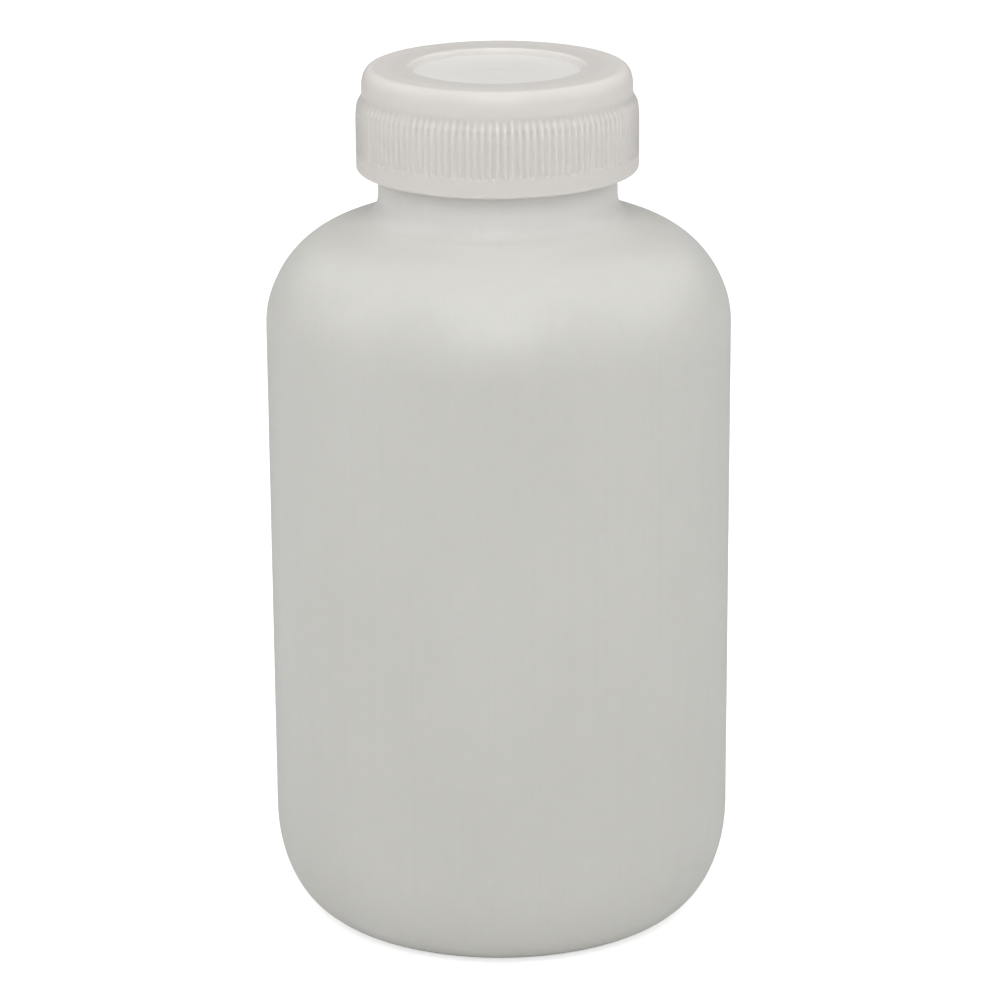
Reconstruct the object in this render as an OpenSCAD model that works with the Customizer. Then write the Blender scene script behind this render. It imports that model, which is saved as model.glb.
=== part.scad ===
// Wide-mouth reagent bottle, nominal 500 mL, natural polyethylene.
// Three separate pieces: a blow-moulded bottle with a threaded neck, a sealing
// plug that stands in the mouth, and a ribbed screw cap that carries the plug.
// Millimetres, +Z up, origin at the centre of the stand ring on the bench.

/* [Bottle body] */
// Outside diameter of the straight wall
body_d = 79; // [78:0.5:80]
// Height at which the shoulder starts
shoulder_z = 104; // [102:0.5:106]
// Horizontal run of the shoulder curve
shoulder_run = 17.4; // [17.2:0.1:17.6]
// Vertical rise of the shoulder curve, if it ran on to a flat top
shoulder_rise = 17.8; // [17.2:0.1:18]
// Slope at which the shoulder curve ends and runs straight to the neck, degrees
shoulder_slope = 21.5; // [20:0.5:24]
// Horizontal run of the base corner
corner_run = 10; // [9:0.5:11]
// Vertical rise of the base corner
corner_rise = 17.5; // [16:0.5:18]
// Thickness of the blow-moulded wall
wall = 1.3; // [1.1:0.1:1.5]
// Thickness of the floor
floor_t = 1.7; // [1.5:0.1:2.0]
// Inner radius of the flat stand ring
ring_in_r = 26.5; // [25:0.5:27]
// Height of the push-up at the centre of the base
push_up = 3.4; // [2.5:0.1:4]

/* [Neck finish] */
// Outside diameter of the neck, which is also the thread root
neck_d = 40.3; // [40.2:0.1:40.4]
// Diameter of the mouth
mouth_d = 37; // [36.8:0.1:37]
// Height of the lip above the bench
lip_z = 144.4; // [144.3:0.05:144.4]
// Fillet between shoulder and neck
neck_fillet = 4.1; // [3:0.1:4.5]
// Height of the thread ridge above its root
thread_h = 1.1; // [1.0:0.05:1.1]
// Rise of the thread in one turn
pitch = 4.2; // [4.2:0.1:4.2]
// Turns of thread
thread_turns = 1.5; // [1.25:0.25:1.5]

/* [Sealing plug] */
// Radial gap between plug and mouth
plug_gap = 0.05; // [0.03:0.01:0.1]
// Thickness of the flange on the lip
flange_t = 1.0; // [0.9:0.05:1.0]
// Radius of the flange
flange_r = 21.2; // [21.1:0.05:21.2]
// Depth of the plug below its flange
plug_depth = 6.8; // [6:0.1:8]
// Wall of the plug
plug_wall = 1.1; // [1.0:0.05:1.2]

/* [Screw cap] */
// Height of the cap's lower edge above the bench
cap_z = 131.1; // [130.9:0.1:131.3]
// Overall height of the cap
cap_h = 17.3; // [17.2:0.1:17.5]
// Outside diameter over the ribs and the lower band
cap_d = 47.6; // [47.4:0.1:48]
// Diameter of the plain upper part
cap_top_d = 45.5; // [45.3:0.1:45.7]
// Height of the ribs and band above the skirt
rib_h = 0.3; // [0.25:0.05:0.4]
// Number of ribs
rib_n = 120; // [90:6:120]
// Height of the plain lower band
band_h = 3.3; // [3:0.1:3.6]
// Height of the rib tops above the cap's lower edge
rib_top = 13; // [12.8:0.1:13.2]
// Height of the bevel at the rib tops
rib_bevel = 1.5; // [1.2:0.1:1.8]
// Height over which the ribbed wall leans in below that bevel
rib_taper = 3; // [2.5:0.1:3.5]
// Horizontal run of the rounded top edge
edge_run = 1.8; // [1.6:0.1:2]
// Vertical rise of the rounded top edge
edge_rise = 3.1; // [2.8:0.1:3.3]
// Radius of the recess in the top
recess_r = 14.5; // [14:0.1:15]
// Depth of the recess in the top
recess_t = 1; // [0.8:0.1:1.2]
// Inside radius of the skirt
skirt_r = 21.55; // [21.5:0.05:21.6]

/* [Hidden] */
$fn = 144;

// Bottle
body_r = body_d / 2;
neck_r = neck_d / 2;
mouth_r = mouth_d / 2;
corner_axis_r = body_r - corner_run;
shoulder_axis_r = body_r - shoulder_run;
inner_fillet = neck_fillet + neck_r - mouth_r;
shoulder_wall = wall + 0.1;
lip_outer_round = 0.5;
lip_inner_round = 0.4;

// Stack on the lip: a small gap, the flange, another gap, the cap's panel
flange_gap = 0.05;
panel_gap = 0.1;
flange_z = lip_z + flange_gap;
flange_top_z = flange_z + flange_t;
panel_z = flange_top_z + panel_gap;

// Cap
cap_r = cap_d / 2;
cap_top_r = cap_top_d / 2;
cap_top_z = cap_z + cap_h;
recess_z = cap_top_z - recess_t;
band_top_z = cap_z + band_h;
low_edge_round = 0.6;
band_edge_round = 0.7 * rib_h;
recess_edge_round = 0.4;
bead_r = skirt_r - 0.65;

// Ribs, and the grooves between them
groove_r = cap_r - rib_h;
rib_pitch = 2 * PI * cap_r / rib_n;
rib_top_z = cap_z + rib_top;
bevel_z = rib_top_z - rib_bevel;
lean_z = bevel_z - rib_taper;
// The rib ring starts this far below the band's top and ends this far below rib_top_z
rib_inset = 0.3;

// Thread: height of the bottle ridge at angle 0, depth of the ridges' base
// inside the wall, widths at base and crest, angle over which the ends fade
thread_z = 134.6;
thread_bury = 0.35;
thread_base_w = 2.68;
thread_crest_w = 1.1;
thread_fade = 40;
thread_steps_per_turn = 48;
// Axial distance from a bottle ridge down to the cap ridge that bears against it
bearing_drop = 1.72;
cap_thread_start = 30;
cap_thread_r = neck_r + 0.2;

// Points are [radius, z] in every profile below.

// Part of an ellipse, from one angle to another
function arc(center_r, center_z, run, rise, from, to, steps) =
    [for (i = [0:steps])
        let (a = from + (to - from) * i / steps)
        [center_r + run * cos(a), center_z + rise * sin(a)]];

function round_arc(center_r, center_z, radius, from, to, steps) =
    arc(center_r, center_z, radius, radius, from, to, steps);

// One side of the push-up: a smooth dome, listed from the centre to the stand ring
function dome(edge_z, steps = 18) =
    [for (i = [0:steps])
        [ring_in_r * i / steps, edge_z + push_up * (0.5 + 0.5 * cos(180 * i / steps))]];

function reversed(list) = [for (i = [len(list) - 1:-1:0]) list[i]];

// Shoulder and neck as one curve: an elliptical arc from the wall up to the set
// slope, a straight run at that slope, and a fillet into a neck of radius
// end_r. Listed from the wall to the neck.
function shoulder(run, rise, end_r, fillet) =
    let (arc_end = atan2(rise, run * tan(shoulder_slope)),
         slope_r = shoulder_axis_r + run * cos(arc_end),
         slope_z = shoulder_z + rise * sin(arc_end),
         fillet_z = slope_z + (slope_r - end_r) * tan(shoulder_slope)
             + fillet * tan((90 - shoulder_slope) / 2))
    concat(arc(shoulder_axis_r, shoulder_z, run, rise, 0, arc_end, 22),
           round_arc(end_r + fillet, fillet_z, fillet, 270 - shoulder_slope, 180, 9));

// One helical ridge with a trapezoid section that fades out at both ends.
// base_r lies inside the wall that carries the ridge; zero_z is the height of
// its centre line at angle 0. A crest inside base_r makes an internal thread.
module thread_ridge(base_r, crest_r, zero_z, start) {
    sweep = 360 * thread_turns;
    steps = ceil(sweep / 360 * thread_steps_per_turn);
    points = [for (i = [0:steps])
        let (turned = sweep * i / steps,
             a = start + turned,
             strength = min(1, turned / thread_fade, (sweep - turned) / thread_fade),
             tip_r = base_r + (crest_r - base_r) * (0.25 + 0.75 * strength),
             z = zero_z + pitch * a / 360,
             base_half = thread_base_w / 2,
             tip_half = thread_crest_w / 2 * (0.6 + 0.4 * strength))
        each [[base_r * cos(a), base_r * sin(a), z - base_half],
              [tip_r * cos(a), tip_r * sin(a), z - tip_half],
              [tip_r * cos(a), tip_r * sin(a), z + tip_half],
              [base_r * cos(a), base_r * sin(a), z + base_half]]];
    sides = [for (i = [0:steps - 1], k = [0:3])
        let (p = 4 * i + k, q = 4 * i + (k + 1) % 4)
        each [[p, q, q + 4], [p, q + 4, p + 4]]];
    last = 4 * steps;
    ends = [[0, 2, 1], [0, 3, 2],
            [last, last + 1, last + 2], [last, last + 2, last + 3]];
    faces = concat(sides, ends);
    // An inward crest mirrors the section, so its faces are turned over
    polyhedron(points, crest_r < base_r ? [for (f = faces) [f[0], f[2], f[1]]] : faces);
}

module bottle_profile() {
    polygon(concat(
        // underside, stand ring, base corner
        dome(0),
        arc(corner_axis_r, corner_rise, corner_run, corner_rise, -90, 0, 22),
        // straight wall, shoulder, fillet, neck, lip
        shoulder(shoulder_run, shoulder_rise, neck_r, neck_fillet),
        round_arc(neck_r - lip_outer_round, lip_z - lip_outer_round, lip_outer_round, 0, 90, 4),
        round_arc(mouth_r + lip_inner_round, lip_z - lip_inner_round, lip_inner_round, 90, 180, 4),
        // mouth, inside of the shoulder, wall, floor
        reversed(shoulder(shoulder_run - wall, shoulder_rise - shoulder_wall,
                          mouth_r, inner_fillet)),
        arc(corner_axis_r, corner_rise, corner_run - wall, corner_rise - floor_t, 0, -90, 22),
        reversed(dome(floor_t))));
}

module bottle_body() {
    color([0.86, 0.87, 0.84, 0.9]) union() {
        rotate_extrude() bottle_profile();
        thread_ridge(neck_r - thread_bury, neck_r + thread_h, thread_z, 0);
    }
}

module plug_profile() {
    outer_r = mouth_r - plug_gap;
    neck_in_r = outer_r - 0.3;
    inner_r = outer_r - plug_wall;
    low_z = flange_z - plug_depth;
    floor_z = low_z + 1.3;
    mark_z = floor_z + 0.3;
    flange_bevel = 0.2;
    polygon([
        // underside and tapered lower end
        [0, low_z], [outer_r - 1.3, low_z], [outer_r - 0.5, low_z + 0.8], [neck_in_r, low_z + 2],
        // full-width belt, then the narrower part below the flange
        [outer_r, low_z + 3.6], [outer_r, low_z + 5.2],
        [neck_in_r, low_z + 5.8], [neck_in_r, flange_z - 0.3],
        // flange
        [outer_r, flange_z], [flange_r, flange_z],
        [flange_r, flange_top_z - flange_bevel], [flange_r - flange_bevel, flange_top_z],
        // inside wall, down to the floor
        [inner_r + 0.1, flange_top_z], [inner_r - 0.2, flange_top_z - 0.3],
        [inner_r - 0.5, floor_z + 0.6], [inner_r - 1.1, floor_z],
        // gate mark in the middle of the plug's floor
        [1.5, floor_z], [1.3, mark_z], [0, mark_z]]);
}

module sealing_plug() {
    color([0.90, 0.91, 0.89]) rotate_extrude() plug_profile();
}

// The ribbed wall of radius r where it leans in, up to the foot of the bevel
function leaning_wall(r) = [[r - 0.12, bevel_z - 0.45 * rib_taper], [r - 0.4, bevel_z]];

module cap_profile() {
    polygon(concat(
        // lower edge and band
        [[skirt_r + 0.35, cap_z]],
        round_arc(cap_r - low_edge_round, cap_z + low_edge_round, low_edge_round, -90, 0, 5),
        round_arc(cap_r - band_edge_round, band_top_z - band_edge_round, band_edge_round,
                  0, 90, 3),
        // groove bottom, leaning in towards the plain upper part
        [[groove_r, band_top_z], [groove_r, lean_z]],
        leaning_wall(groove_r),
        [[cap_top_r, rib_top_z]],
        arc(cap_top_r - edge_run, cap_top_z - edge_rise, edge_run, edge_rise, 0, 90, 9),
        // rounded edge, sloping side and floor of the recess
        round_arc(recess_r + recess_edge_round, cap_top_z - recess_edge_round,
                  recess_edge_round, 90, 155, 4),
        [[recess_r - 0.25, recess_z + 0.25], [recess_r - 0.5, recess_z], [0, recess_z],
         // inside: panel, plug retaining bead, skirt, bevel at the lower edge
         [0, panel_z], [skirt_r, panel_z], [skirt_r, lip_z - 0.05],
         [bead_r, lip_z - 0.35], [bead_r, lip_z - 0.65], [skirt_r, lip_z - 1.2],
         [skirt_r, cap_z + 0.5]]));
}

// The ribs as one ring, leaning in towards their bevelled tops
module ribs() {
    low_z = band_top_z - rib_inset;
    high_z = rib_top_z - rib_inset;
    // One side of a rib's section: radius, half width as a share of the pitch
    half_section = [[groove_r - 1, 0.42], [groove_r, 0.36],
                    [cap_r - 0.22 * rib_h, 0.2], [cap_r, 0.11]];
    rib_section = concat(
        [for (p = half_section) [p[0], -p[1] * rib_pitch]],
        [for (p = reversed(half_section)) [p[0], p[1] * rib_pitch]]);
    // Outline that trims the ring
    trim_in_r = groove_r - 1.2;
    trim_out_r = cap_r + 1;
    trim_low_z = low_z - 1;
    trim_high_z = high_z - 0.05;
    intersection() {
        translate([0, 0, low_z]) linear_extrude(high_z - low_z) difference() {
            union() for (i = [0:rib_n - 1]) rotate(360 * i / rib_n) polygon(rib_section);
            circle(r = groove_r - 0.9);
        }
        rotate_extrude() polygon(concat(
            [[trim_in_r, trim_low_z], [trim_out_r, trim_low_z],
             [trim_out_r, lean_z], [cap_r + 0.02, lean_z]],
            leaning_wall(cap_r),
            [[cap_top_r - 0.05, trim_high_z], [trim_in_r, trim_high_z]]));
    }
}

module screw_cap() {
    color([0.88, 0.88, 0.86]) union() {
        rotate_extrude() cap_profile();
        ribs();
        thread_ridge(skirt_r + thread_bury, cap_thread_r, thread_z - bearing_drop,
                     cap_thread_start);
    }
}

bottle_body();
sealing_plug();
screw_cap();
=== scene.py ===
"""Wide-mouth reagent bottle with a sealing plug and a ribbed screw cap, on a studio floor.

It stands on z = 0 with its axis along Z, and the camera looks from the -Y side.
Meshes are worked out in mm; the floor, lights, camera and bump depths are in metres.
Suffixes: _R radius, _Z level above the floor, _H height or depth, _T thickness, _W width.
"""
import math

import bpy
import numpy as np
from mathutils import Matrix, Vector


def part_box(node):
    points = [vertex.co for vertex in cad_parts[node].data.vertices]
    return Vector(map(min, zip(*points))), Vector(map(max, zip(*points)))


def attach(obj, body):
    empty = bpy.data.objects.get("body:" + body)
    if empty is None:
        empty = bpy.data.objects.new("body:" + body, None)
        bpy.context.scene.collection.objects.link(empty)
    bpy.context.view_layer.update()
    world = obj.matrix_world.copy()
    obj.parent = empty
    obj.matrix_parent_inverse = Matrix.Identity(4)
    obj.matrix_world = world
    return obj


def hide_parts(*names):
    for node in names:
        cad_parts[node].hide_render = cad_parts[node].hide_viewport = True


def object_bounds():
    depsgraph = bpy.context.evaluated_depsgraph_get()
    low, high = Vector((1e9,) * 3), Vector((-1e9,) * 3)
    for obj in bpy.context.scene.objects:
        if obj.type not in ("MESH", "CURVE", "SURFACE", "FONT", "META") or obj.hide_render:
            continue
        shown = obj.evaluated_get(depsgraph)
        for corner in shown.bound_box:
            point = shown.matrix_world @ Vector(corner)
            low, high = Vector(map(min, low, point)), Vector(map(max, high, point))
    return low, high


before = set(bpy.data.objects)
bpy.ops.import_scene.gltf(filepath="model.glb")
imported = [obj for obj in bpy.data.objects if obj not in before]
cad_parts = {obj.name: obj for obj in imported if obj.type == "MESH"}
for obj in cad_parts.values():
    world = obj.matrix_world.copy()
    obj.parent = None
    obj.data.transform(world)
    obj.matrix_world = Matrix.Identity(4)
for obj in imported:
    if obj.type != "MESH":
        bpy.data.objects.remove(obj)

CAD_BOX = [list(corner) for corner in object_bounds()]
MM = 0.001
TURN = 2 * math.pi

# ---------------------------------------------------------------- sizes, mm
body_low, body_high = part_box("bottle_body")
cap_low, cap_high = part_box("screw_cap")
plug_low, plug_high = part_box("sealing_plug")
BODY_R = body_high.x / MM
LIP_Z = body_high.z / MM
CAP_Z0, CAP_Z1 = cap_low.z / MM, cap_high.z / MM
CAP_R = 0.5 * (cap_high.x - cap_low.x) / MM
PLUG_Z0, PLUG_Z1 = plug_low.z / MM, plug_high.z / MM
FLANGE_R = plug_high.x / MM

# bottle wall and base
WALL_T, FLOOR_T = 1.3, 1.7
DOME_H, DOME_R = 3.4, 26.5  # the underside rises to the centre inside the stand ring
CORNER_RUN, CORNER_RISE = 10.0, 17.5
BASE_R = BODY_R - CORNER_RUN
WELD_H, WELD_END_R = 0.42, 19.5
WELD_HALF_W, WELD_FLANK = 0.62, 0.42
SEAM_H, SEAM_W = 0.07, 0.17
SEAMS = (0.0, math.pi)

# shoulder and neck
SHOULDER_Z = LIP_Z - 40.4
SHOULDER_RUN, SHOULDER_RISE = 17.4, 17.8
SHOULDER_SLOPE = math.radians(21.5)
SHOULDER_R = BODY_R - SHOULDER_RUN
NECK_R, MOUTH_R, NECK_FILLET = 20.15, 18.5, 4.1

# thread, and the levels of the rows that carry it: first, limit, step
THREAD_H, PITCH, TURNS, THREAD_Z = 1.1, 4.2, 1.5, LIP_Z - 9.8
THREAD_FADE = math.radians(40)
ROOT_W, CREST_W = 2.3, 1.1
CAP_THREAD_DROP, CAP_THREAD_START = 1.72, math.radians(30)
NECK_TOP_Z = 132.8
NECK_ROWS = (132.92, 143.35, 0.14)
CAP_ROWS = (142.9, 131.75, -0.125)

# cap
SKIRT_R, TOP_R = 21.55, 22.75
PANEL_Z = LIP_Z + 1.15
BEAD_INSET = 0.65
RIB_H, RIB_COUNT = 0.3, 120
BAND_H, RIB_TOP, RIB_TAPER = 3.3, 13.0, 3.5  # levels above the cap's lower edge
RIB_LEAN = 0.4
EDGE_RUN, EDGE_RISE = 1.8, 3.1
RECESS_R, RECESS_H = 14.5, 1.0

# plug
PLUG_R = MOUTH_R - 0.05
FLANGE_T = 1.0


# ---------------------------------------------------------------- profiles
def arc(centre_r, centre_z, radius_r, radius_z, start, end, steps):
    """Points on an ellipse from start to end, in degrees."""
    angles = np.radians(np.linspace(start, end, steps + 1))
    return [(centre_r + radius_r * math.cos(a), centre_z + radius_z * math.sin(a)) for a in angles]


def line(r0, z0, r1, z1, steps):
    return [(r0 + (r1 - r0) * k / steps, z0 + (z1 - z0) * k / steps) for k in range(steps + 1)]


def chain(*parts):
    """Join runs of (radius, z) points, dropping repeated ones."""
    out = []
    for part in parts:
        for point in part:
            if not out or math.dist(point, out[-1]) > 1e-4:
                out.append(point)
    return out


def shoulder(run, rise, neck_r, fillet_r, curve_steps, fillet_steps):
    """The wall's shoulder arc, its straight run and the fillet into the neck."""
    slope = SHOULDER_SLOPE
    end = math.atan2(rise, run * math.tan(slope))
    end_r, end_z = SHOULDER_R + run * math.cos(end), SHOULDER_Z + rise * math.sin(end)
    fillet_z = end_z + (end_r - neck_r) * math.tan(slope)
    fillet_z += fillet_r * math.tan((math.pi / 2 - slope) / 2)
    curve = arc(SHOULDER_R, SHOULDER_Z, run, rise, 0, math.degrees(end), curve_steps)
    fillet = arc(neck_r + fillet_r, fillet_z, fillet_r, fillet_r,
                 270 - math.degrees(slope), 180, fillet_steps)
    return curve + line(*curve[-1], *fillet[0], 5)[1:-1] + fillet


def smooth(x):
    x = np.clip(x, 0.0, 1.0)
    return x * x * (3 - 2 * x)


def thread(angles, z, start_z, start_angle, height):
    """Height of the helical thread ridge at each angle on level z."""
    out = np.zeros_like(angles)
    end_angle = start_angle + TURN * TURNS
    for k in range(-1, 3):
        along = angles + TURN * k
        inside = (along >= start_angle) & (along <= end_angle)
        fade = smooth(np.minimum(along - start_angle, end_angle - along) / THREAD_FADE)
        offset = np.abs(z - (start_z + PITCH * along / TURN))
        flank = (ROOT_W / 2 - offset) / (ROOT_W / 2 - CREST_W / 2)
        section = smooth(flank * 0.94 + 0.03)
        out = np.maximum(out, np.where(inside, height * fade * section, 0.0))
    return out


# ---------------------------------------------------------------- meshes
def place(name, data):
    ob = bpy.data.objects.new(name, data)
    bpy.context.scene.collection.objects.link(ob)
    return ob


def graded(coarse, fine):
    """Triangles from a coarse ring to a finer one, each ring a (first vertex, count) pair."""
    (first, few), (fine_first, many) = coarse, fine
    ratio = many // few
    middle = ratio // 2
    faces = []
    for j in range(few):
        here, following = first + j, first + (j + 1) % few
        points = [fine_first + (j * ratio + i) % many for i in range(ratio + 1)]
        for i in range(ratio):
            corner = here if i < middle else following
            faces.append((corner, points[i + 1], points[i]))
        faces.append((here, following, points[middle]))
    return faces


class Skin:
    """A closed surface of rings round the Z axis, from one pole to the other."""

    def __init__(self, pole_z):
        self.points, self.faces = [(0.0, 0.0, pole_z * MM)], []
        self.last = (0, 1)

    def ring(self, radius, z, angles):
        """Add a ring; radius and z are numbers or one value per angle."""
        radius = np.broadcast_to(radius, angles.shape)
        z = np.broadcast_to(z, angles.shape)
        now = (len(self.points), len(angles))
        xs, ys = radius * np.cos(angles) * MM, radius * np.sin(angles) * MM
        self.points += list(zip(xs, ys, z * MM))
        (a, n), (b, m) = self.last, now
        if n == 1:
            self.faces += [(a, b + (j + 1) % m, b + j) for j in range(m)]
        elif n == m:
            self.faces += [(a + j, a + (j + 1) % n, b + (j + 1) % n, b + j) for j in range(n)]
        elif m > n:
            self.faces += graded(self.last, now)
        else:
            self.faces += [face[::-1] for face in graded(now, self.last)]
        self.last = now

    def rings(self, angles, *parts):
        for radius, z in chain(*parts):
            self.ring(radius, z, angles)

    def close(self, pole_z, name):
        """Add the last pole and make the object."""
        pole = len(self.points)
        self.points.append((0.0, 0.0, pole_z * MM))
        a, n = self.last
        self.faces += [(a + j, a + (j + 1) % n, pole) for j in range(n)]
        me = bpy.data.meshes.new(name)
        me.from_pydata(self.points, [], self.faces)
        me.validate()
        me.update()
        me.shade_smooth()
        return place(name, me)


def even(count):
    return np.arange(count) * 2 * math.pi / count


# ---------------------------------------------------------------- bottle
def seam_columns(count):
    """Even columns, and finer ones beside the two mould seams."""
    columns = list(even(count))
    step = TURN / count
    for seam in SEAMS:
        for part in (0.09, 0.2, 0.34, 0.52, 0.76):
            columns += [(seam + step * part) % TURN, (seam - step * part) % TURN]
    return np.array(sorted(columns))


def from_seam(angles):
    """Angle to the nearer mould seam."""
    return np.min([np.abs((angles - s + math.pi) % TURN - math.pi) for s in SEAMS], axis=0)


def dome(radius):
    return DOME_H * (0.5 + 0.5 * math.cos(math.pi * min(radius / DOME_R, 1.0)))


def build_bottle():
    angles = seam_columns(264)
    off_seam = from_seam(angles)
    outside = shoulder(SHOULDER_RUN, SHOULDER_RISE, NECK_R, NECK_FILLET, 30, 14)
    inside = shoulder(SHOULDER_RUN - WALL_T, SHOULDER_RISE - WALL_T - 0.1, MOUTH_R,
                      NECK_FILLET + NECK_R - MOUTH_R, 22, 12)

    def weld(radius):
        """The pinch-off weld under the base, along the seam line."""
        side = np.sin(np.minimum(off_seam, math.pi / 2)) * radius
        height = WELD_H * smooth((WELD_END_R - radius) / 2.0)
        return height * smooth((WELD_HALF_W - side) / WELD_FLANK)

    def seamed(radius, strength):
        """The outer radius with the raised mould line."""
        return radius + SEAM_H * strength * np.exp(-((off_seam * radius / SEAM_W) ** 2))

    # underside: centre to stand ring
    skin = Skin(dome(0) - WELD_H)
    for radius in [0.25, 0.5, 0.8, 1.2, 1.7, 2.3] + list(np.arange(3, 26.6, 0.94)):
        skin.ring(radius, dome(radius) - weld(radius), angles)
    skin.rings(angles, line(DOME_R, 0, BASE_R, 0, 3)[1:])
    # outer wall; the mould line grows over the first rows of the base corner
    wall = chain(
        arc(BASE_R, CORNER_RISE, CORNER_RUN, CORNER_RISE, -90, 0, 26),
        line(BODY_R, CORNER_RISE, BODY_R, SHOULDER_Z, 22),
        outside,
    )
    for k, (radius, z) in enumerate(wall[1:]):
        skin.ring(seamed(radius, float(smooth(k / 8))), z, angles)
    for radius, z in chain(line(*outside[-1], NECK_R, NECK_TOP_Z, 8))[1:]:
        skin.ring(seamed(radius, 0.9), z, angles)
    for z in np.arange(*NECK_ROWS):
        skin.ring(NECK_R + thread(angles, z, THREAD_Z, 0.0, THREAD_H), z, angles)
    # lip, then down the inside to the floor
    skin.rings(
        angles,
        line(NECK_R, 143.45, NECK_R, LIP_Z - 0.5, 2),
        arc(NECK_R - 0.5, LIP_Z - 0.5, 0.5, 0.5, 0, 90, 6),
        line(NECK_R - 0.5, LIP_Z, MOUTH_R + 0.4, LIP_Z, 2),
        arc(MOUTH_R + 0.4, LIP_Z - 0.4, 0.4, 0.4, 90, 180, 6),
        line(MOUTH_R, LIP_Z - 0.4, *inside[-1], 8),
        inside[::-1],
        line(BODY_R - WALL_T, SHOULDER_Z, BODY_R - WALL_T, CORNER_RISE, 12),
        arc(BASE_R, CORNER_RISE, CORNER_RUN - WALL_T, CORNER_RISE - FLOOR_T, 0, -90, 18),
        line(BASE_R, FLOOR_T, DOME_R, FLOOR_T, 2),
    )
    for radius in list(np.arange(DOME_R - 1.6, 0.8, -1.6)) + [0.6]:
        skin.ring(radius, FLOOR_T + dome(radius), angles)
    return skin.close(FLOOR_T + DOME_H, "bottle_blown")


# ---------------------------------------------------------------- cap
RIB_ANGLES, CAP_ANGLES = even(8 * RIB_COUNT), even(2 * RIB_COUNT)


def add_cap_inside(skin):
    """Underside of the top panel from its centre, the bead, the thread and the lower band."""
    for radius in [0.8, 2, 4, 6, 8, 10, 12, 14, 16, 18, 19.5, 20.8, 21.3]:
        skin.ring(radius, PANEL_Z, CAP_ANGLES)
    skin.rings(
        CAP_ANGLES,
        arc(SKIRT_R - 0.12, PANEL_Z - 0.12, 0.12, 0.12, 90, 0, 3),
        line(SKIRT_R, PANEL_Z - 0.12, SKIRT_R, LIP_Z - 0.02, 3),
        [(SKIRT_R - 0.12, LIP_Z - 0.1), (SKIRT_R - 0.5, LIP_Z - 0.28)],
        arc(SKIRT_R - BEAD_INSET + 0.2, LIP_Z - 0.5, 0.2, 0.2, 110, 250, 6),
        [(SKIRT_R - 0.4, LIP_Z - 0.85), (SKIRT_R - 0.1, LIP_Z - 1.12), (SKIRT_R, LIP_Z - 1.25)],
    )
    height = SKIRT_R - NECK_R - 0.2
    for z in np.arange(*CAP_ROWS):
        ridge = thread(CAP_ANGLES, z, THREAD_Z - CAP_THREAD_DROP, CAP_THREAD_START, height)
        skin.ring(SKIRT_R - ridge, z, CAP_ANGLES)
    z0 = CAP_Z0
    skin.rings(
        CAP_ANGLES,
        [(SKIRT_R, z0 + 0.5), (SKIRT_R + 0.08, z0 + 0.3)],
        [(SKIRT_R + 0.2, z0 + 0.1), (SKIRT_R + 0.4, z0)],
        line(SKIRT_R + 0.4, z0, CAP_R - 0.6, z0, 3),
        arc(CAP_R - 0.6, z0 + 0.6, 0.6, 0.6, -90, 0, 8),
        line(CAP_R, z0 + 0.6, CAP_R, z0 + 1.9, 2),
    )


def add_ribs(skin):
    """The ribbed wall, which leans in and rounds off into the plain part above."""
    phase = np.abs((RIB_ANGLES * RIB_COUNT / TURN) % 1.0 - 0.5) * 2  # 1 at a rib's crest
    crest = smooth((phase - 0.12) / 0.76)
    low, top = CAP_Z0 + BAND_H, CAP_Z0 + RIB_TOP
    lean_z = top - RIB_TAPER - 1
    levels = [CAP_Z0 + 2.4]
    levels += [low + step for step in (-0.28, -0.16, -0.05, 0.05, 0.16, 0.28, 0.42)]
    levels += list(np.arange(low + 1.2, lean_z, 1.0))
    levels += list(np.linspace(lean_z, top - 2.1, 8))
    levels += list(np.linspace(top - 1.9, top + 0.1, 14))
    for z in levels:
        groove = smooth((z - (low - 0.30)) / 0.62)  # the groove's rounded lower end
        lean = np.clip((z - (top - 1 - RIB_TAPER)) / RIB_TAPER, 0, 1)
        plain = float(smooth((z - (top - 2.0)) / 2.1))
        radius = CAP_R - RIB_LEAN * float(lean ** 2)
        radius += (TOP_R - radius) * plain
        skin.ring(radius - RIB_H * groove * (1 - plain) * (1 - crest), z, RIB_ANGLES)


def build_cap():
    skin = Skin(PANEL_Z)
    add_cap_inside(skin)
    add_ribs(skin)
    # plain upper part, rounded edge, rim, recess, and the raised spot at its centre
    z1, floor_z = CAP_Z1, CAP_Z1 - RECESS_H
    skin.rings(
        CAP_ANGLES,
        line(TOP_R, CAP_Z0 + RIB_TOP + 0.3, TOP_R, z1 - EDGE_RISE, 3),
        arc(TOP_R - EDGE_RUN, z1 - EDGE_RISE, EDGE_RUN, EDGE_RISE, 0, 90, 18),
        line(TOP_R - EDGE_RUN, z1, RECESS_R + 0.4, z1, 7),
        arc(RECESS_R + 0.4, z1 - 0.4, 0.4, 0.4, 90, 155, 6),
        arc(RECESS_R - 0.75, floor_z + 0.45, 0.6, 0.45, -15, -90, 6),
        line(RECESS_R - 0.75, floor_z, 2.0, floor_z, 9),
        [(1.75, floor_z + 0.01), (1.6, floor_z + 0.04), (1.45, floor_z + 0.08)],
        [(1.25, floor_z + 0.1), (0.7, floor_z + 0.1)],
    )
    return skin.close(floor_z + 0.1, "cap_moulded")


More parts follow.
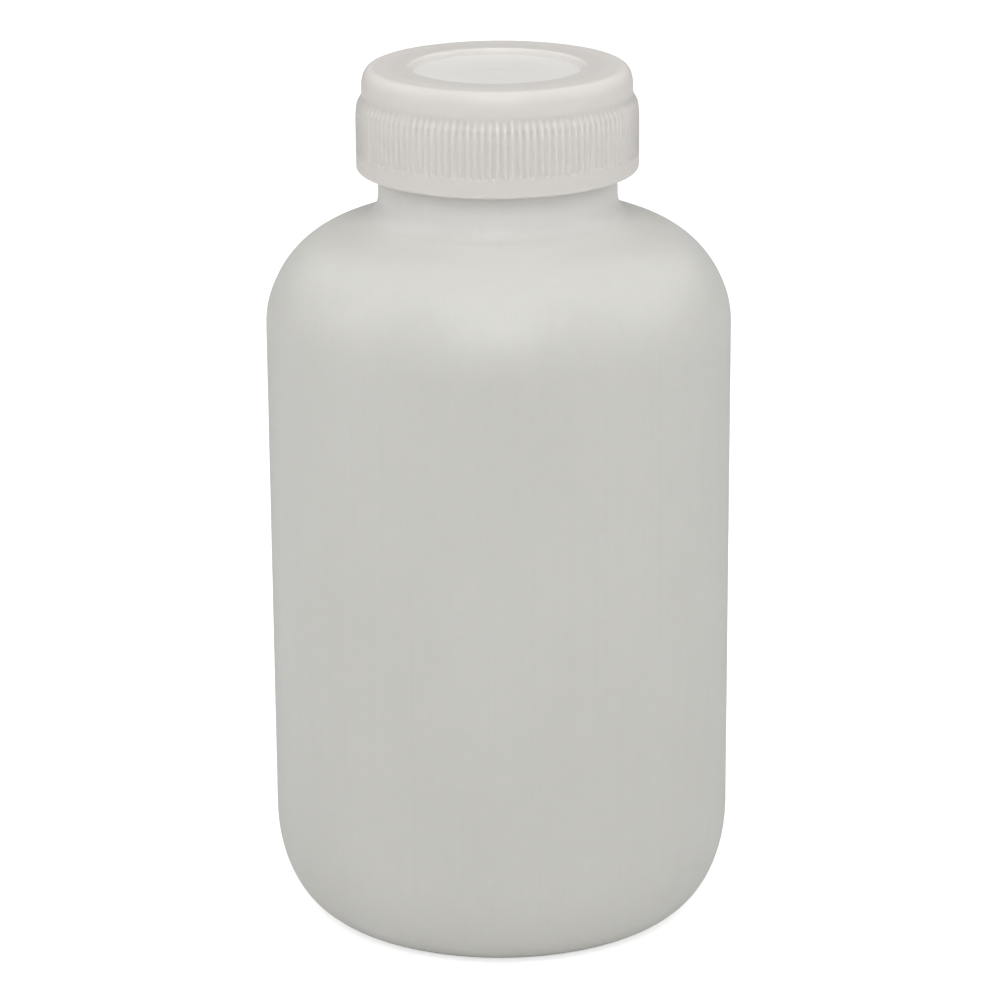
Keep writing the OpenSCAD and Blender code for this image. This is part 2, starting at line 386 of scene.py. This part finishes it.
# ---------------------------------------------------------------- plug
def build_plug():
    """A cup that fills the mouth, with two sealing bulges' profile and a flange on the lip."""
    r, low, top = PLUG_R, PLUG_Z0, PLUG_Z1
    flange_z = top - FLANGE_T
    skin = Skin(low)
    skin.rings(
        even(240),
        # underside and outer wall
        line(1.0, low, r - 1.5, low, 8),
        arc(r - 1.5, low + 0.4, 0.4, 0.4, -90, -30, 4),
        [(r - 0.6, low + 0.8), (r - 0.42, low + 1.3), (r - 0.3, low + 2.0), (r - 0.2, low + 2.7)],
        [(r - 0.06, low + 3.3), (r, low + 3.7), (r, low + 4.4), (r, low + 5.1)],
        [(r - 0.07, low + 5.4), (r - 0.25, low + 5.75), (r - 0.3, low + 6.0)],
        [(r - 0.3, flange_z - 0.3), (r - 0.2, flange_z - 0.1), (r, flange_z)],
        # flange
        line(r, flange_z, FLANGE_R - 0.1, flange_z, 4),
        arc(FLANGE_R - 0.15, flange_z + 0.15, 0.15, 0.15, -90, 0, 3),
        arc(FLANGE_R - 0.25, top - 0.25, 0.25, 0.25, 0, 90, 4),
        line(FLANGE_R - 0.25, top, r - 1.0, top, 4),
        # inner wall and floor, with a raised spot at the centre
        arc(r - 1.0, top - 0.35, 0.35, 0.35, 90, 175, 4),
        line(r - 1.36, top - 0.5, r - 1.6, low + 2.0, 8),
        arc(r - 2.2, low + 1.9, 0.6, 0.6, 0, -90, 5),
        line(r - 2.2, low + 1.3, 1.6, low + 1.3, 8),
        [(1.5, low + 1.34), (1.35, low + 1.5), (1.2, low + 1.58), (0.9, low + 1.6)],
        [(0.4, low + 1.6)],
    )
    return skin.close(low + 1.6, "plug_moulded")


bottle, cap, plug = build_bottle(), build_cap(), build_plug()


# ---------------------------------------------------------------- shader tools
class Tree:
    """Short ways to add nodes to a material's or world's emptied node tree."""

    def __init__(self, owner):
        owner.use_nodes = True
        self.nodes, self.links = owner.node_tree.nodes, owner.node_tree.links
        self.nodes.clear()

    def add(self, kind, inputs=None, **settings):
        """Add a node; inputs maps names or indices to values or sockets."""
        node = self.nodes.new("ShaderNode" + kind)
        for key, value in settings.items():
            setattr(node, key, value)
        for key, value in (inputs or {}).items():
            if isinstance(value, bpy.types.NodeSocket):
                self.links.new(value, node.inputs[key])
            else:
                node.inputs[key].default_value = value
        return node

    def math(self, operation, a, b=0.0, c=0.0):
        return self.add("Math", {0: a, 1: b, 2: c}, operation=operation).outputs[0]

    def scaled(self, x, by, plus=None):
        if plus is None:
            return self.math("MULTIPLY", x, by)
        return self.math("MULTIPLY_ADD", x, by, plus)

    def times(self, product, *factors):
        for factor in factors:
            product = self.math("MULTIPLY", product, factor)
        return product

    def invert(self, x):
        return self.math("SUBTRACT", 1.0, x)

    def span(self, x, over, to=(0.0, 1.0), ease=False):
        """Map the range `over` to the range `to`, clamped."""
        inputs = {"Value": x, "From Min": over[0], "From Max": over[1],
                  "To Min": to[0], "To Max": to[1]}
        kind = "SMOOTHSTEP" if ease else "LINEAR"
        return self.add("MapRange", inputs, interpolation_type=kind, clamp=True).outputs["Result"]

    def noise(self, where, scale, detail, rough, seed):
        inputs = {"Vector": where, "Scale": scale, "Detail": detail, "Roughness": rough, "W": seed}
        return self.add("TexNoise", inputs, noise_dimensions="4D").outputs["Fac"]

    def stretch(self, where, x=1, y=1, z=1):
        return self.add("Mapping", {"Vector": where, "Scale": (x, y, z)}).outputs["Vector"]

    def tint(self, factor, a, b):
        a, b = (c if isinstance(c, bpy.types.NodeSocket) else (*c, 1) for c in (a, b))
        return self.add("Mix", {0: factor, 6: a, 7: b}, data_type="RGBA").outputs[2]

    def gain(self, colour, factor):
        return self.add("Mix", {0: 1.0, 6: colour, 7: factor},
                        data_type="RGBA", blend_type="MULTIPLY").outputs[2]

    def darken(self, colour, amount):
        return self.gain(colour, self.invert(amount))

    def dot(self, a, b):
        """The absolute dot product of two directions."""
        a, b = (self.add("VectorMath", {0: v}, operation="NORMALIZE").outputs["Vector"]
                for v in (a, b))
        product = self.add("VectorMath", {0: a, 1: b}, operation="DOT_PRODUCT")
        return self.math("ABSOLUTE", product.outputs["Value"])

    def bumps(self, layers):
        """Stack bump layers of (height, distance in metres, strength)."""
        inputs = {}
        for height, distance, strength in layers:
            inputs.update({"Height": height, "Distance": distance, "Strength": strength})
            inputs["Normal"] = self.add("Bump", inputs).outputs["Normal"]
        return inputs["Normal"]


# ---------------------------------------------------------------- polymers
def polymer(name, base, deep, radius, roughness, detail):
    """A scattering resin; detail(tree) refines its colour and roughness and gives its bumps."""
    mat = bpy.data.materials.new(name)
    t = Tree(mat)
    where = t.add("TexCoord").outputs["Object"]
    t.mm = t.stretch(where, x=1000, y=1000, z=1000)
    t.z = t.add("SeparateXYZ", {0: t.mm}).outputs["Z"]
    # colour: slow drifts of wall thickness, and faint cloudiness in the resin
    t.drift = t.noise(t.stretch(t.mm, z=0.55), scale=0.035, detail=2.0, rough=0.5, seed=3.1)
    t.cloud = t.noise(t.mm, scale=0.33, detail=4.0, rough=0.6, seed=8.4)
    depth = t.scaled(t.cloud, by=0.35, plus=t.scaled(t.drift, by=0.65))
    t.colour = t.tint(t.span(depth, over=(0.34, 0.66)), base, deep)
    t.grain = t.noise(t.mm, scale=3.6, detail=3.0, rough=0.62, seed=1.0)
    t.peel = t.noise(t.mm, scale=0.85, detail=2.0, rough=0.5, seed=5.0)
    grainy = t.scaled(t.span(t.grain, over=(0.3, 0.7)), by=0.07, plus=roughness - 0.05)
    drifting = t.scaled(t.span(t.drift, over=(0.35, 0.65)), by=0.04)
    t.rough = t.math("ADD", grainy, drifting)
    # 1 where the wall faces the viewer, 0 at its outline
    t.geometry = t.add("NewGeometry").outputs
    t.facing = t.dot(t.stretch(t.geometry["Position"], z=0), t.stretch(t.geometry["Incoming"], z=0))
    normal = t.bumps(detail(t))
    shader = t.add("BsdfPrincipled", {
        "Base Color": t.colour, "Roughness": t.rough, "Normal": normal, "IOR": 1.52,
        "Subsurface Weight": 1.0, "Subsurface Radius": radius, "Subsurface Scale": 1.0})
    t.add("OutputMaterial", {"Surface": shader.outputs[0]})
    mat.diffuse_color = (*base, 1)
    return mat


def blown(t):
    """The bottle's shading."""
    # painted light: the neck is painted lighter towards the cap, a glow that fills the shade under
    # the cap's overhang
    neck = t.scaled(t.span(t.z, over=(121.0, 127.0), ease=True), by=0.93)
    t.colour = t.tint(neck, t.colour, (0.93, 0.893, 0.850))
    # painted shade: the wall below the shoulder is darkened where it is seen side on, towards its
    # outline
    outline_painted_shade = t.invert(t.span(t.facing, over=(0.0, 0.36), to=(0.90, 1.0), ease=True))
    below = t.span(t.z, over=(SHOULDER_Z + 4, SHOULDER_Z - 6))
    t.colour = t.darken(t.colour, t.times(outline_painted_shade, below))
    # painted shade: the lower wall is darkened towards the floor
    t.colour = t.gain(t.colour, t.span(t.z, over=(15, 75), to=(0.975, 1.0), ease=True))
    # die lines: faint streaks up the wall from the extruded parison
    streak = t.noise(t.stretch(t.mm, z=0.012), scale=1.15, detail=3.0, rough=0.55, seed=11.0)
    t.colour = t.gain(t.colour, t.span(streak, over=(0.45, 0.75), to=(1.0, 0.983)))
    # scuffs where bottles rub: high on the wall and on the base corner
    rub = t.noise(t.stretch(t.mm, z=2.6), scale=0.9, detail=6.0, rough=0.72, seed=21.0)
    low = t.span(t.z, over=(15.0, 3.0), ease=True)
    high = t.times(t.span(t.z, over=(92, 101), to=(0.0, 0.55), ease=True),
                   t.span(t.z, over=(108, 114), to=(1.0, 0.0), ease=True))
    worn = t.times(t.span(rub, over=(0.55, 0.72)), t.math("MAXIMUM", low, high))
    t.rough = t.scaled(worn, by=0.16, plus=t.rough)
    return ((streak, 0.000035, 0.5), (t.drift, 0.00045, 0.25), (t.peel, 0.00003, 0.45),
            (t.grain, 0.000008, 0.5), (rub, 0.00001, 0.35))


def shade_top(t, radius):
    """The recess panel and the rim round it."""
    # painted light: the recess panel is painted lighter, a glow standing in for light shining up
    # through it, a little darker at its centre
    panel_painted_glow = t.times(t.span(radius, over=(RECESS_R + 0.1, RECESS_R - 0.7), ease=True),
                   t.span(t.z, over=(CAP_Z1 - 3.2, CAP_Z1 - 2.6)))
    pane = t.tint(t.span(t.cloud, over=(0.3, 0.7)), (0.800, 0.785, 0.760), (0.815, 0.800, 0.775))
    pane = t.gain(pane, t.span(radius, over=(4.0, 13.0), to=(0.975, 1.0), ease=True))
    t.colour = t.tint(panel_painted_glow, t.colour, pane)
    # painted shade: the rim's top is darkened, most beside the recess where its inner rounding
    # turns away
    rim = t.span(t.z, over=(CAP_Z1 - 0.6, CAP_Z1 - 0.2))
    ring = t.times(t.span(radius, over=(RECESS_R + 0.2, RECESS_R + 0.7)),
                   t.span(radius, over=(RECESS_R + 2.4, RECESS_R + 4.6), to=(1, 0), ease=True))
    edge_r = TOP_R - EDGE_RUN
    flat = t.span(radius, over=(edge_r + 0.2, edge_r - 0.8), ease=True)
    shade = t.math("ADD", t.scaled(ring, by=0.045), t.scaled(flat, by=0.030))
    t.colour = t.darken(t.colour, t.times(shade, rim, t.invert(panel_painted_glow)))


def shade_ribs(t, radius):
    """The ribs, their tops and the plain wall above."""
    up = t.math("SUBTRACT", t.z, CAP_Z0)
    ribbed = t.times(t.span(radius, over=(TOP_R - 0.2, TOP_R + 0.4)),
                     t.span(up, over=(RIB_TOP + 0.3, RIB_TOP - 1.2)),
                     t.span(up, over=(BAND_H - 0.8, BAND_H)))
    # the ribs shade one another where they are seen side on
    dark = t.invert(t.span(t.facing, over=(0.05, 0.48), to=(0.80, 1.0), ease=True))
    t.colour = t.darken(t.colour, t.times(ribbed, dark))
    # painted light and shade: the grooves are painted lighter and the rib crests darker, evening
    # out the shading between the ribs
    groove = t.span(radius, over=(CAP_R - RIB_H, CAP_R - 0.03), to=(0.055, -0.055))
    shut = t.span(up, over=(RIB_TOP - 4.0, RIB_TOP - 2.0), to=(1, 0), ease=True)
    t.colour = t.gain(t.colour, t.math("ADD", 1.0, t.times(ribbed, shut, groove)))
    # painted shade and light: the rib tops, which catch the light, are darkened, and the plain wall
    # above is painted lighter
    tops = t.times(t.span(up, over=(RIB_TOP - 3.6, RIB_TOP - 1.4), ease=True),
                   t.span(up, over=(RIB_TOP - 0.3, RIB_TOP + 0.4), to=(1, 0)))
    plain = t.times(t.span(up, over=(RIB_TOP - 0.4, RIB_TOP + 0.4)),
                    t.span(t.z, over=(CAP_Z1 - 1.6, CAP_Z1 - 3.2), ease=True))
    shade = t.scaled(plain, by=0.05, plus=t.scaled(tops, by=-0.045, plus=1.0))
    t.colour = t.gain(t.colour, shade)


def moulded(t):
    """The shading of the cap, which the plug shares."""
    axis = t.add("VectorMath", {0: t.stretch(t.mm, z=0)}, operation="LENGTH")
    radius = axis.outputs["Value"]
    shade_top(t, radius)
    shade_ribs(t, radius)
    # painted shade: the far outline of the top is darkened where the rim turns away from the viewer
    head_on = t.dot(t.geometry["Normal"], t.geometry["Incoming"])
    far_rim_painted_shade = t.invert(t.span(head_on, over=(0.0, 0.19), to=(0.74, 1.0)))
    near_top = t.span(t.z, over=(CAP_Z1 - 1.6, CAP_Z1 - 0.9))
    t.colour = t.darken(t.colour, t.times(far_rim_painted_shade, near_top))
    return (t.drift, 0.0001, 0.2), (t.peel, 0.000014, 0.4), (t.grain, 0.000007, 0.5)


bottle_mat = polymer(
    "natural_polyethylene", base=(0.700, 0.693, 0.656), deep=(0.672, 0.666, 0.627),
    radius=(0.0026, 0.0025, 0.0023), roughness=0.40, detail=blown)
cap_mat = polymer(
    "natural_polypropylene", base=(0.748, 0.719, 0.690), deep=(0.728, 0.700, 0.671),
    radius=(0.0019, 0.00185, 0.0018), roughness=0.42, detail=moulded)
plug_mat = polymer(
    "soft_polyethylene", base=(0.76, 0.76, 0.735), deep=(0.74, 0.74, 0.715),
    radius=(0.0040, 0.0038, 0.0036), roughness=0.42, detail=moulded)

for ob, mat, body, node, slot in (
    (bottle, bottle_mat, "bottle", "bottle_body", "bottle_polyethylene"),
    (plug, plug_mat, "plug", "sealing_plug", "plug_polyethylene"),
    (cap, cap_mat, "cap", "screw_cap", "cap_polypropylene"),
):
    ob.data.materials.append(mat)
    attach(ob, body)
    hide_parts(node)


# ---------------------------------------------------------------- floor, light, camera; metres
def build_floor(half=6.0, drop=0.0001):
    mat = bpy.data.materials.new("studio_floor")
    t = Tree(mat)
    # the camera sees the floor a little brighter than it lights the bottle
    glow = t.scaled(t.add("LightPath").outputs["Is Camera Ray"], by=0.65)
    shader = t.add("BsdfPrincipled", {
        "Base Color": (0.80, 0.80, 0.80, 1), "Roughness": 0.85, "Specular IOR Level": 0.15,
        "Emission Color": (1, 1, 1, 1), "Emission Strength": glow})
    t.add("OutputMaterial", {"Surface": shader.outputs[0]})
    me = bpy.data.meshes.new("studio_floor")
    corners = [(-half, -half, 0), (half, -half, 0), (half, half, 0), (-half, half, 0)]
    me.from_pydata(corners, [], [(0, 1, 2, 3)])
    me.materials.append(mat)
    ob = place("studio_floor", me)
    ob.location.z = -drop


def softbox(name, azimuth, elevation, power, size=0.8, distance=1.35, aim_z=0.09):
    """A square softbox aimed at the bottle; azimuth 0 is the camera's side, 90 is +X."""
    light = bpy.data.lights.new(name, "AREA")
    light.energy, light.size = power, size
    around, up = math.radians(azimuth), math.radians(elevation)
    ob = place(name, light)
    at = Vector((distance * math.cos(up) * math.sin(around),
                 -distance * math.cos(up) * math.cos(around), aim_z + distance * math.sin(up)))
    ob.location = at
    ob.rotation_euler = (Vector((0, 0, aim_z)) - at).to_track_quat("-Z", "Y").to_euler()


def build_world():
    """White to the camera, and a dim fill for everything else."""
    world = bpy.data.worlds.new("studio")
    bpy.context.scene.world = world
    t = Tree(world)
    seen = t.add("Background", {"Color": (1, 1, 1, 1), "Strength": 1.0})
    fill = t.add("Background", {"Color": (1.0, 1.0, 0.99, 1), "Strength": 0.27})
    camera_ray = t.add("LightPath").outputs["Is Camera Ray"]
    pick = t.add("MixShader", {0: camera_ray, 1: fill.outputs[0], 2: seen.outputs[0]})
    t.add("OutputWorld", {"Surface": pick.outputs[0]})


def build_camera(elevation=math.radians(17.6), distance=0.700, roll=math.radians(-0.36)):
    """A long lens aimed at the middle of the bottle's height."""
    data = bpy.data.cameras.new("camera")
    data.sensor_width, data.lens = 36.0, 146.16
    data.shift_x, data.shift_y = 0.0003, -0.0109
    data.clip_start = 0.01
    ob = place("camera", data)
    aim = Vector((0, 0, CAD_BOX[1][2] / 2))
    ob.location = (0, -distance * math.cos(elevation), aim.z + distance * math.sin(elevation))
    look = (aim - ob.location).to_track_quat("-Z", "Y").to_matrix().to_4x4()
    ob.rotation_euler = (look @ Matrix.Rotation(roll, 4, "Z")).to_euler()
    bpy.context.scene.camera = ob


build_floor()
softbox("front_low_softbox", azimuth=0, elevation=35, power=5.2)
softbox("front_mid_softbox", azimuth=0, elevation=55, power=3.2)
softbox("front_high_softbox", azimuth=0, elevation=75, power=2.0)
for side, word in ((-1, "left"), (1, "right")):
    softbox("side_softbox_" + word, azimuth=85 * side, elevation=30, power=2.7)
    softbox("side_high_softbox_" + word, azimuth=85 * side, elevation=60, power=1.2)
    softbox("rear_softbox_" + word, azimuth=130 * side, elevation=35, power=1.7)
build_world()
build_camera()

scene = bpy.context.scene
scene.view_settings.view_transform = "Standard"
scene.view_settings.look = "None"
scene.render.film_transparent = False
